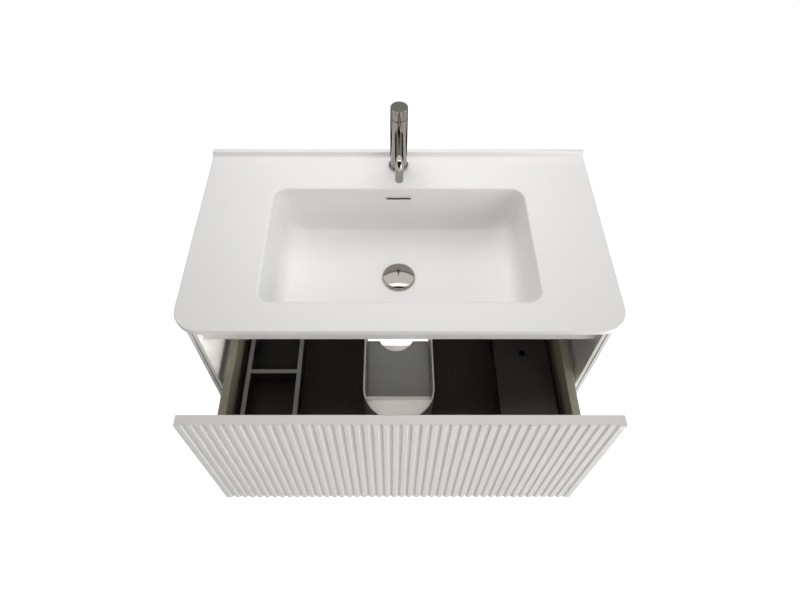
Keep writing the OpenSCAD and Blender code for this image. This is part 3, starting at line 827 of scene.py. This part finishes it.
@dataclass
class BasinTop:
    """The cast slab with its upstand, its bowl and the hidden overflow channel."""

    maker: Maker
    width: float = 0.800
    depth: float = 0.460
    thick: float = 0.012
    corner: float = 0.050
    corner_steps: int = 20
    upstand_h: float = 0.010
    upstand_t: float = 0.012
    cove: float = 0.008
    cove_steps: int = 10
    edge: float = 0.0018
    edge_steps: int = 4
    bowl_w: float = 0.512
    bowl_l: float = 0.284
    bowl_y: float = -0.255
    bowl_depth: float = 0.109
    bowl_corner: float = 0.026
    draft: float = 0.008
    fillet: float = 0.032
    fillet_steps: int = 10
    fall: float = 0.005
    fall_shares: tuple[float, ...] = (0.35, 0.7, 0.96)
    wall: float = 0.010
    rim: float = 0.004
    rim_steps: int = 6
    mouth_share: float = 0.05
    waste_flat: float = 0.036
    waste_hole: float = 0.0225
    waste_hole_top: float = 0.090
    boss_top: float = 0.100
    boss_drop: float = 0.141
    tap_hole: float = 0.0175
    channel_outside: tuple[Span, ...] = (
        Span(0.039, (-0.116, -0.084), (0.0115, 0.1410)),
        Span(0.024, (WASTE_Y, -0.0845), (0.1115, 0.1408)),
    )
    channel_edge: float = 0.003
    channel_inside: tuple[Span, ...] = (
        Span(0.033, (-0.098, -0.0890), (0.016, 0.1350)),
        Span(0.018, (-0.250, -0.0895), (0.125, 0.1347)),
    )
    slot_y: float = -0.0945
    slot_l: float = 0.026
    slot_lap_w: float = 1 * MM
    slot_lap_h: float = 0.5 * MM
    trim_edge: float = 0.5 * MM
    overlap: float = 0.5 * MM
    clear: float = 1 * MM

    def build(self) -> None:
        """Builds the casting and its overflow trim."""
        outside = [span.block() for span in self.channel_outside]
        for shape in outside:
            ease(shape, self.channel_edge, segments=3)
        boss = self._post(self.waste_flat, self.boss_top, self.boss_drop, WASTE_Y)
        drain = self._post(
            self.waste_hole, self.waste_hole_top, self.boss_drop + self.clear, WASTE_Y
        )
        tap_hole = self._post(
            self.tap_hole, -self.clear, self.thick + self.clear, TAP_FOOT.y
        )
        tools = [
            (Cut.JOIN, self._bowl(self.wall, self.thick - self.overlap)),
            (Cut.JOIN, boss),
            *((Cut.JOIN, shape) for shape in outside),
            (Cut.REMOVE, self._bowl(0.0, -self.clear, self.rim)),
            *((Cut.REMOVE, span.block()) for span in self.channel_inside),
            (Cut.REMOVE, self._slot()),
            (Cut.REMOVE, drain),
            (Cut.REMOVE, tap_hole),
        ]
        casting = combine(self._slab(), tools)
        self.maker.piece(casting, "cast_basin_top", ("basin_top",))
        self.maker.eased_piece("overflow_trim", self.trim_edge, 0.0)

    def _slab(self) -> Shape:
        """Makes the slab with its upstand, its round front corners and its eased edges.

        Returns:
            The solid.
        """
        low = Vector((-self.width / 2, -self.depth, SLAB_TOP - self.thick))
        shape = block(low, Vector((self.width / 2, 0.0, SLAB_TOP)))
        bmesh.ops.bisect_plane(
            shape,
            geom=[*shape.verts, *shape.edges, *shape.faces],
            plane_co=(0.0, -self.upstand_t, 0.0),
            plane_no=(0.0, 1.0, 0.0),
        )
        strip = [
            face
            for face in shape.faces
            if face.normal.z > LEVEL and face.calc_center_median().y > -self.upstand_t
        ]
        raise_faces(shape, strip, self.upstand_h)
        bmesh.ops.delete(
            shape, geom=[face for face in strip if face.is_valid], context="FACES_ONLY"
        )
        join_flats(shape)
        inner = [
            edge
            for edge in shape.edges
            if all(abs(vert.co.y + self.upstand_t) < SAME_PLACE for vert in edge.verts)
            and all(abs(vert.co.z - SLAB_TOP) < SAME_PLACE for vert in edge.verts)
        ]
        bevel(shape, inner, self.cove, self.cove_steps)
        uprights = [
            edge
            for edge in shape.edges
            if all(vert.co.y < -self.depth + MM for vert in edge.verts)
            and abs(edge.verts[0].co.x - edge.verts[1].co.x) < MM
        ]
        bevel(shape, uprights, self.corner, self.corner_steps)
        ease(shape, self.edge, segments=self.edge_steps)
        return shape

    def _bowl(self, grow: float, top: float, rim: float = 0.0) -> Shape:
        """Makes the bowl's form, as a solid.

        Args:
            grow: Wall thickness: 0 for the inside, more for the outside.
            top: Drop below the slab's top where the form starts.
            rim: Radius of the rim's rounding, on the inside.

        Returns:
            The solid.
        """
        rings = [self._level(top, -self._rim_flare(rim, self.mouth_share) - grow)]
        if rim:
            for step in range(1, self.rim_steps + 1):
                drop = rim * (1 - math.cos(math.radians(90 * step / self.rim_steps)))
                rings.append(self._level(drop, -self._rim_flare(rim, drop / rim)))
        bend = self.bowl_depth - self.fall - self.fillet
        for step in range(self.fillet_steps + 1):
            angle = math.radians(90 * step / self.fillet_steps)
            inset = self.draft + self.fillet * (1 - math.cos(angle)) - grow
            rings.append(self._level(bend + self.fillet * math.sin(angle) + grow, inset))
        last = rings[-1]
        flat = Ring(self.waste_flat, self.waste_flat, self.waste_flat, last.z - self.fall)
        rings += [last.towards(flat, share) for share in self.fall_shares]
        return loft([*rings, flat], Vector((0.0, self.bowl_y, 0.0)))

    @staticmethod
    def _rim_flare(rim: float, share: float) -> float:
        """Says how far the rim's rounding stands out, at a share of its height."""
        across = 1 - share
        return rim * (1 - math.sqrt(max(0.0, 1 - across * across)))

    def _level(self, drop: float, inset: float) -> Ring:
        """Gives the bowl's outline at one drop, moved in by an inset or out by a negative one.

        Args:
            drop: Drop below the slab's top.
            inset: The inset. Inwards, the corners open by a third of it. Outwards, they keep
                their centres.

        Returns:
            The outline.
        """
        return Ring(
            self.bowl_w / 2 - inset,
            self.bowl_l / 2 - inset,
            self.bowl_corner + (inset / 3 if inset > 0 else -inset),
            SLAB_TOP - drop,
        )

    @staticmethod
    def _post(radius: float, top: float, bottom: float, y: float) -> Shape:
        """Makes an upright round solid.

        Args:
            radius: Its radius.
            top: Drop of its top below the slab's top.
            bottom: Drop of its bottom.
            y: Its axis in Y, on the centre line.

        Returns:
            The solid.
        """
        foot = Vector((0.0, y, SLAB_TOP - bottom))
        height = bottom - top
        return lathe([(0, 0), (radius, 0), (radius, height), (0, height)], foot, steps=72)

    def _slot(self) -> Shape:
        """Makes the slot from the bowl to the channel, round-ended, for the trim to sit in.

        Returns:
            The solid to cut away.
        """
        low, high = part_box("overflow_trim")
        half_w = (high.x - low.x) / 2 - self.slot_lap_w
        half_h = (high.z - low.z) / 2 - self.slot_lap_h
        ends = [Ring(half_w, half_h, half_h, z) for z in (0.0, self.slot_l)]
        shape = loft(ends, Vector(), facets=8)
        tip_forward(shape)
        middle = (low + high) / 2
        bmesh.ops.translate(shape, vec=(0.0, self.slot_y, middle.z), verts=shape.verts)
        return shape


# ---------------- cabinet and drawer


@dataclass
class Cabinet:
    """Boards of the carcass, with their lacquered edges eased."""

    maker: Maker
    lacquer_edge: float = 0.6 * MM
    band_t: float = 0.4 * MM
    boards: tuple[str, ...] = (
        "side_panel_left",
        "side_panel_right",
        "top_front_rail",
        "rear_rail_upper",
        "rear_rail_lower",
        "trap_shelf",
    )

    def build(self) -> None:
        """Eases each board, and edges the shelf."""
        for node in self.boards:
            self.maker.eased_piece(node, self.lacquer_edge)
        low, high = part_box("trap_shelf")
        band = block(Vector((low.x, low.y - self.band_t, low.z)), Vector((high.x, low.y, high.z)))
        self.maker.piece(band, "shelf_edge_band", ("trap_shelf",), "box_pale")


@dataclass
class FlutedFront:
    """The tall front: flat ribs with rounded edges between half-round flutes."""

    maker: Maker
    flutes: int = 45
    flute_r: float = 3.5 * MM
    flute_depth: float = 3.8 * MM
    flute_steps: int = 12
    rib_round: float = 1.7 * MM
    rib_steps: int = 6
    edge: float = 0.35 * MM

    def build(self) -> None:
        """Draws the outline, raises it, and eases its ends."""
        low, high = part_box("drawer_front")
        shape = bmesh.new()
        verts = [shape.verts.new((x, y, low.z)) for x, y in self._outline(low, high)]
        loop = [shape.edges.new((a, b)) for a, b in zip(verts, [*verts[1:], verts[0]])]
        bmesh.ops.contextual_create(shape, geom=loop)
        raise_faces(shape, list(shape.faces), high.z - low.z)
        face_outwards(shape)
        ease(shape, self.edge)
        self.maker.piece(shape, "fluted_front", ("drawer_front",))

    def _outline(self, low: Vector, high: Vector) -> Outline:
        """Gives the board's outline from above.

        Args:
            low: Low corner of the board.
            high: High corner of the board.

        Returns:
            Its points, from the left end of the face round to the rear.
        """
        pitch = (high.x - low.x) / (self.flutes + 1)
        sunk = self.flute_depth - self.flute_r
        reach = self.flute_r + self.rib_round
        aside = math.sqrt(reach**2 - (self.rib_round - sunk) ** 2)
        tilt = math.degrees(math.atan2(self.rib_round - sunk, aside))
        rib = (self.rib_round, self.rib_steps)
        hollow = (self.flute_r, self.flute_steps)
        points = [(low.x, low.y)]
        for flute in range(1, self.flutes + 1):
            x = low.x + flute * pitch
            rib_y, flute_y = low.y + self.rib_round, low.y + sunk
            points += self._arc((x - aside, rib_y), *rib, (-90, -tilt))
            points += self._arc((x, flute_y), *hollow, (180 - tilt, tilt))[1:]
            points += self._arc((x + aside, rib_y), *rib, (180 + tilt, 270))[1:]
        return [*points, (high.x, low.y), (high.x, high.y), (low.x, high.y)]

    @staticmethod
    def _arc(
        centre: tuple[float, float], radius: float, steps: int, turn: tuple[float, float]
    ) -> Outline:
        """Gives points on an arc.

        Args:
            centre: Its centre.
            radius: Its radius.
            steps: Facets along it.
            turn: Its first and last angle, in degrees.

        Returns:
            Its points.
        """
        first, last = turn
        angles = [math.radians(first + (last - first) * step / steps) for step in range(steps + 1)]
        return [
            (centre[0] + radius * math.cos(a), centre[1] + radius * math.sin(a)) for a in angles
        ]


@dataclass
class Drawer:
    """The fluted front and the two boxes behind it."""

    maker: Maker
    board_edge: float = 0.5 * MM
    thin_edge: float = 0.35 * MM
    boards: tuple[str, ...] = (
        "upper_side_left",
        "upper_side_right",
        "upper_backs",
        "lower_side_left",
        "lower_side_right",
        "lower_backs",
        "lower_floor",
    )
    thin: tuple[str, ...] = (
        "upper_floor",
        "trap_surround",
        "organiser_left",
        "organiser_divider",
        "organiser_right",
        "organiser_lid",
    )

    def build(self) -> None:
        """Builds the front and eases the boards."""
        FlutedFront(self.maker).build()
        for node in self.boards:
            self.maker.eased_piece(node, self.board_edge)
        for node in self.thin:
            self.maker.eased_piece(node, self.thin_edge)
        # Paler bands on top edges: painted highlights on the organiser walls, and a paler top edge
        # on the trap surround.
        self.maker.rim("trap_surround", "box_pale")
        self.maker.rim("organiser_left", "shelf_grey")
        self.maker.rim("organiser_divider", "shelf_grey")


# ---------------- tap and waste


@dataclass
class Tap:
    """Single-lever mixer: foot ring, body, bent spout and handle."""

    maker: Maker
    radius: float = 0.0174
    bore_r: float = 0.014
    foot_r: float = 0.0208
    foot_h: float = 0.005
    foot_floor: float = 0.002
    foot_edge: float = 0.6 * MM
    body_edge: float = 0.4 * MM
    handle_edge: float = 0.5 * MM
    spout_h: float = 0.098
    spout_r: float = 0.008
    spout_facets: int = 48
    spout_wall: float = 0.0016
    spout_root: float = 0.013
    spout_edge: float = 0.3 * MM
    bend: float = 0.018
    bend_steps: int = 16
    reach: float = 0.106
    outlet: float = 0.058

    def build(self) -> None:
        """Builds the four chromed pieces. The body stays open at the top for the cartridge."""
        self._foot()
        self._spout()
        self.maker.eased_piece("tap_body", self.body_edge, 0.0)
        self.maker.eased_piece("tap_handle", self.handle_edge, 0.0)

    def _foot(self) -> None:
        """Builds the dished ring that the body stands in."""
        profile = [
            (self.bore_r, 0.0),
            (self.foot_r, 0.0),
            (self.foot_r, self.foot_h),
            (self.radius, self.foot_h),
            (self.radius, self.foot_floor),
            (self.bore_r, self.foot_floor),
            (self.bore_r, 0.0),
        ]
        shape = lathe(profile, TAP_FOOT)
        ease(shape, self.foot_edge, segments=3)
        self.maker.piece(shape, "foot_ring", ("tap_base_ring",))

    def _spout(self) -> None:
        """Builds the bent tube: out, round the bend and down."""
        shape = bmesh.new()
        bmesh.ops.create_circle(
            shape, cap_ends=False, radius=self.spout_r, segments=self.spout_facets
        )
        tip_forward(shape)
        start = TAP_FOOT + Vector((0.0, -self.spout_root, self.spout_h))
        bmesh.ops.translate(shape, vec=start, verts=shape.verts)
        run = Vector((0.0, -(self.reach - self.bend - self.spout_root), 0.0))
        end = self._extend(shape, list(shape.edges), run)
        turned = bmesh.ops.spin(
            shape,
            geom=[*end, *{vert for edge in end for vert in edge.verts}],
            cent=start + run - Vector((0.0, 0.0, self.bend)),
            axis=(1.0, 0.0, 0.0),
            angle=QUARTER,
            steps=self.bend_steps,
        )["geom_last"]
        last = [part for part in turned if isinstance(part, bmesh.types.BMEdge)]
        drop = self.spout_h - self.bend - self.outlet
        self._extend(shape, last, Vector((0.0, 0.0, -drop)))
        merge(shape)
        face_outwards(shape)
        bmesh.ops.solidify(shape, geom=shape.faces[:], thickness=self.spout_wall)
        face_outwards(shape)
        ease(shape, self.spout_edge)
        self.maker.piece(shape, "bent_spout", ("tap_spout",))

    @staticmethod
    def _extend(shape: Shape, loop: Loop, way: Vector) -> Loop:
        """Extrudes a loop straight.

        Args:
            shape: The tube.
            loop: Its open end.
            way: How far and which way.

        Returns:
            Its new end.
        """
        verts = verts_in(bmesh.ops.extrude_edge_only(shape, edges=loop)["geom"])
        bmesh.ops.translate(shape, vec=way, verts=verts)
        ends = set(verts)
        return [edge for edge in shape.edges if set(edge.verts) <= ends]


@dataclass
class Waste:
    """Push waste: the domed cap over its flange."""

    maker: Maker
    cap_r: float = 0.0335
    rim_t: float = 0.002
    rise: float = 0.0075
    stem_r: float = 0.004
    lip: float = 0.0003
    dome_steps: int = 12
    roll_steps: int = 8
    facets: int = 128

    def build(self) -> None:
        """Builds the domed cap. The flange under it stays as it is."""
        low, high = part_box("waste_cap")
        under = high.z - self.rim_t - self.rise
        shape = lathe(self._profile(under - low.z), Vector((0.0, WASTE_Y, low.z)), self.facets)
        self.maker.piece(shape, "domed_cap", ("waste_cap",))

    def _profile(self, base: float) -> Outline:
        """Draws half a section through the stem, the rolled rim and the dome.

        Args:
            base: Height of the cap's underside over the foot of its stem.

        Returns:
            Pairs of radius and height, from the foot of the axis to its top.
        """
        dome_r = (self.cap_r**2 + self.rise**2) / (2 * self.rise)
        spread = math.asin(self.cap_r / dome_r)
        lift = base + self.rim_t + self.rise - dome_r
        steps = range(self.dome_steps - 1, -1, -1)
        leans = [spread * step / self.dome_steps for step in steps]
        dome = [(dome_r * math.sin(lean), dome_r * math.cos(lean) + lift) for lean in leans]
        lean = leans[0]
        inner, start = dome[0]
        roll = (self.cap_r - inner) / (1 - math.sin(lean))
        steps = range(self.roll_steps)
        turns = [QUARTER - (QUARTER - lean) * step / self.roll_steps for step in steps]
        return [
            (0.0, 0.0),
            (self.stem_r, 0.0),
            (self.stem_r, base),
            (self.cap_r - self.lip, base),
            *(
                (
                    self.cap_r - roll * (1 - math.sin(turn)),
                    max(base + self.lip, start - roll * (math.cos(lean) - math.cos(turn))),
                )
                for turn in turns
            ),
            *dome,
        ]


# ---------------- studio


def facing(place: Place, aim: Place) -> Quaternion:
    """Gives the turn that points a lamp or a card from its place at an aim."""
    return (Vector(aim) - Vector(place)).to_track_quat("-Z", "Y")


@dataclass(frozen=True)
class Lamp:
    """A square soft lamp. Reflections leave it out, unless it is mirrored."""

    name: str
    place: Place
    aim: Place
    size: float
    power: float
    spread: float = 180.0
    mirrored: bool = False

    def hang(self) -> None:
        """Adds the lamp to the scene."""
        data = bpy.data.lights.new(self.name, "AREA")
        data.shape = "SQUARE"
        data.size = self.size
        data.energy = self.power
        data.spread = math.radians(self.spread)
        lamp = bpy.data.objects.new(self.name, data)
        lamp.location = self.place
        lamp.rotation_mode = "QUATERNION"
        lamp.rotation_quaternion = facing(self.place, self.aim)
        lamp.visible_camera = False
        lamp.visible_glossy = self.mirrored
        bpy.context.scene.collection.objects.link(lamp)


LAMPS: tuple[Lamp, ...] = (
    Lamp("key", (1.76, -1.35, 0.77), (0.0, -0.25, 0.05), 1.10, 13.0, mirrored=True),
    Lamp("fill", (-0.4, -1.5, 1.5), (0.0, -0.20, 0.05), 0.80, 3.0),
    Lamp("side", (5.0, -1.34, -0.12), (0.0, -0.50, 0.0), 0.34, 140.0),
    Lamp("inner", (1.0, -0.66, 0.02), (-0.384, -0.42, 0.0), 0.05, 0.036, spread=10.0),
    Lamp("overhead", (0.0, 0.18, 0.85), (0.0, -0.12, 0.1), 1.00, 7.0),
    Lamp("front", (0.7, -2.3, 0.25), (0.0, -0.5, -0.10), 1.0, 9.6),
    Lamp("under", (0.0, 0.65, -0.14), (0.0, -0.45, -0.33), 0.25, 0.8, spread=26.0),
)


@dataclass(frozen=True)
class Card:
    """A grey card that shows only in reflections, as a room's darker and brighter parts do."""

    name: str
    place: Place
    aim: Place
    size: tuple[float, float]
    level: float

    def stand(self) -> None:
        """Stands the card in the studio, hidden from the camera and from diffuse light."""
        shape = bmesh.new()
        bmesh.ops.create_grid(shape, x_segments=1, y_segments=1, size=0.5)
        bmesh.ops.scale(shape, vec=(*self.size, 1.0), verts=shape.verts)
        turn = facing(self.place, self.aim).to_matrix().to_4x4()
        bmesh.ops.transform(shape, matrix=turn, verts=shape.verts)
        bmesh.ops.translate(shape, vec=self.place, verts=shape.verts)
        card = object_of(shape, self.name)
        card.data.materials.append(self._paint())
        card.visible_camera = False
        card.visible_diffuse = False
        card.visible_shadow = False
        card.visible_transmission = False
        card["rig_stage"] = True

    def _paint(self) -> bpy.types.Material:
        """Makes the card's even grey.

        Returns:
            The material.
        """
        paint = bpy.data.materials.new(self.name)
        paint.use_nodes = True
        wiring = Wiring(paint.node_tree)
        glow = wiring.add("ShaderNodeEmission", Color=grey(self.level))
        wiring.add("ShaderNodeOutputMaterial", Surface=glow.outputs[0])
        return paint


CARDS: tuple[Card, ...] = (
    Card("card_low", (0.0, 0.60, -0.45), (0.0, 0.0, -0.45), (3.0, 1.6), 0.02),
    Card("card_high", (0.0, 0.61, 0.62), (0.0, 0.0, 0.62), (2.2, 0.54), 0.40),
    Card("card_bright", (0.0, 0.62, 1.24), (0.0, 0.0, 1.24), (3.4, 0.70), 1.30),
    Card("card_roof", (0.0, 0.23, 1.60), (0.0, 0.23, 0.0), (3.4, 0.78), 1.30),
    Card("card_strip", (0.0, -0.30, 1.60), (0.0, -0.30, 0.0), (2.6, 0.28), 3.0),
    Card("card_above", (0.0, -1.95, 1.60), (0.0, -1.95, 0.0), (4.0, 3.00), 0.04),
    Card("card_slab", (0.0, -0.016, 0.122), (0.0, -0.016, 1.0), (0.40, 0.030), 0.02),
)


@dataclass
class Studio:
    """Camera at the photograph's viewpoint, soft light, and a pale floor."""

    image_w: int = 800
    focal_px: float = 586.0
    centre_px: float = 391.3
    sensor_mm: float = 36.0
    tilt_deg: float = 54.76
    eye: Place = (-0.0152, -0.998, 0.9652)
    ambient: float = 0.157
    ambient_tint: Tint = (0.98, 0.99, 1.0)
    floor_z: float = -0.76
    floor_half: float = 6.0
    floor_level: float = 0.80
    floor_glow: float = 0.85

    def build(self) -> None:
        """Sets up the camera, the world, the lamps, the cards and the floor."""
        self._camera()
        self._world()
        for lamp in LAMPS:
            lamp.hang()
        for card in CARDS:
            card.stand()
        self._floor()
        bpy.context.scene.view_settings.view_transform = "Standard"

    def _camera(self) -> None:
        """Places the camera."""
        lens = bpy.data.cameras.new("camera")
        lens.sensor_width = self.sensor_mm
        lens.lens = self.focal_px / self.image_w * self.sensor_mm
        lens.shift_x = (self.image_w / 2 - self.centre_px) / self.image_w
        camera = bpy.data.objects.new("camera", lens)
        camera.location = self.eye
        camera.rotation_euler = (math.radians(90 - self.tilt_deg), 0.0, 0.0)
        bpy.context.scene.collection.objects.link(camera)
        bpy.context.scene.camera = camera

    @staticmethod
    def _seen(wiring: Wiring) -> bpy.types.NodeSocket:
        """Tells the rays that see the background: the camera's, and those in metal and glass.

        Args:
            wiring: The wiring that asks.

        Returns:
            1 for such a ray, and 0 for others.
        """
        rays = wiring.add("ShaderNodeLightPath").outputs
        seen = rays["Is Camera Ray"]
        for kind in ("Is Glossy Ray", "Is Transmission Ray"):
            seen = wiring.join("ShaderNodeMath", seen, rays[kind], operation="MAXIMUM")
        return seen

    def _world(self) -> None:
        """Makes a white background and a dimmer ambient light."""
        world = bpy.data.worlds.new("studio")
        world.use_nodes = True
        bpy.context.scene.world = world
        wiring = Wiring(world.node_tree)
        dim = wiring.add(
            "ShaderNodeBackground", Color=(*self.ambient_tint, 1.0), Strength=self.ambient
        )
        white = wiring.add("ShaderNodeBackground", Color=grey(1.0), Strength=1.0)
        mix = wiring.join(
            "ShaderNodeMixShader", self._seen(wiring), dim.outputs[0], white.outputs[0]
        )
        wiring.add("ShaderNodeOutputWorld", Surface=mix)

    def _floor(self) -> None:
        """Lays a plain pale floor that looks white and keeps the object's shadow."""
        shape = bmesh.new()
        bmesh.ops.create_grid(shape, x_segments=1, y_segments=1, size=self.floor_half)
        bmesh.ops.translate(shape, vec=(0.0, 0.0, self.floor_z), verts=shape.verts)
        floor = object_of(shape, "floor")
        pale = bpy.data.materials.new("floor_pale")
        pale.use_nodes = True
        wiring = Wiring(pale.node_tree)
        matt = wiring.add("ShaderNodeBsdfDiffuse", Color=grey(self.floor_level)).outputs[0]
        glow = wiring.add("ShaderNodeEmission", Color=grey(1.0), Strength=self.floor_glow)
        both = wiring.join("ShaderNodeAddShader", matt, glow.outputs[0])
        mix = wiring.join("ShaderNodeMixShader", self._seen(wiring), matt, both)
        wiring.add("ShaderNodeOutputMaterial", Surface=mix)
        floor.data.materials.append(pale)
        floor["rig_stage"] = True


# ---------------- main


def corners(bounds: tuple[Vector, Vector]) -> list[list[float]]:
    """Turns a box into plain lists."""
    return [list(corner) for corner in bounds]


def main() -> None:
    """Loads the frame, builds the pieces, and measures the two overall boxes."""
    logging.basicConfig(level=logging.INFO, format="%(name)s %(message)s")
    for leftover in list(bpy.data.objects):
        bpy.data.objects.remove(leftover)
    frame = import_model()
    solid_box = corners(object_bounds())
    Studio().build()
    wardrobe = Wardrobe()
    wardrobe.dress_nodes(frame)
    maker = Maker(frame, wardrobe)
    BasinTop(maker).build()
    Cabinet(maker).build()
    Drawer(maker).build()
    Tap(maker).build()
    Waste(maker).build()
    bpy.context.view_layer.update()
    sizes = {"cad": solid_box, "visual": corners(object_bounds())}


if __name__ == "__main__":
    main()
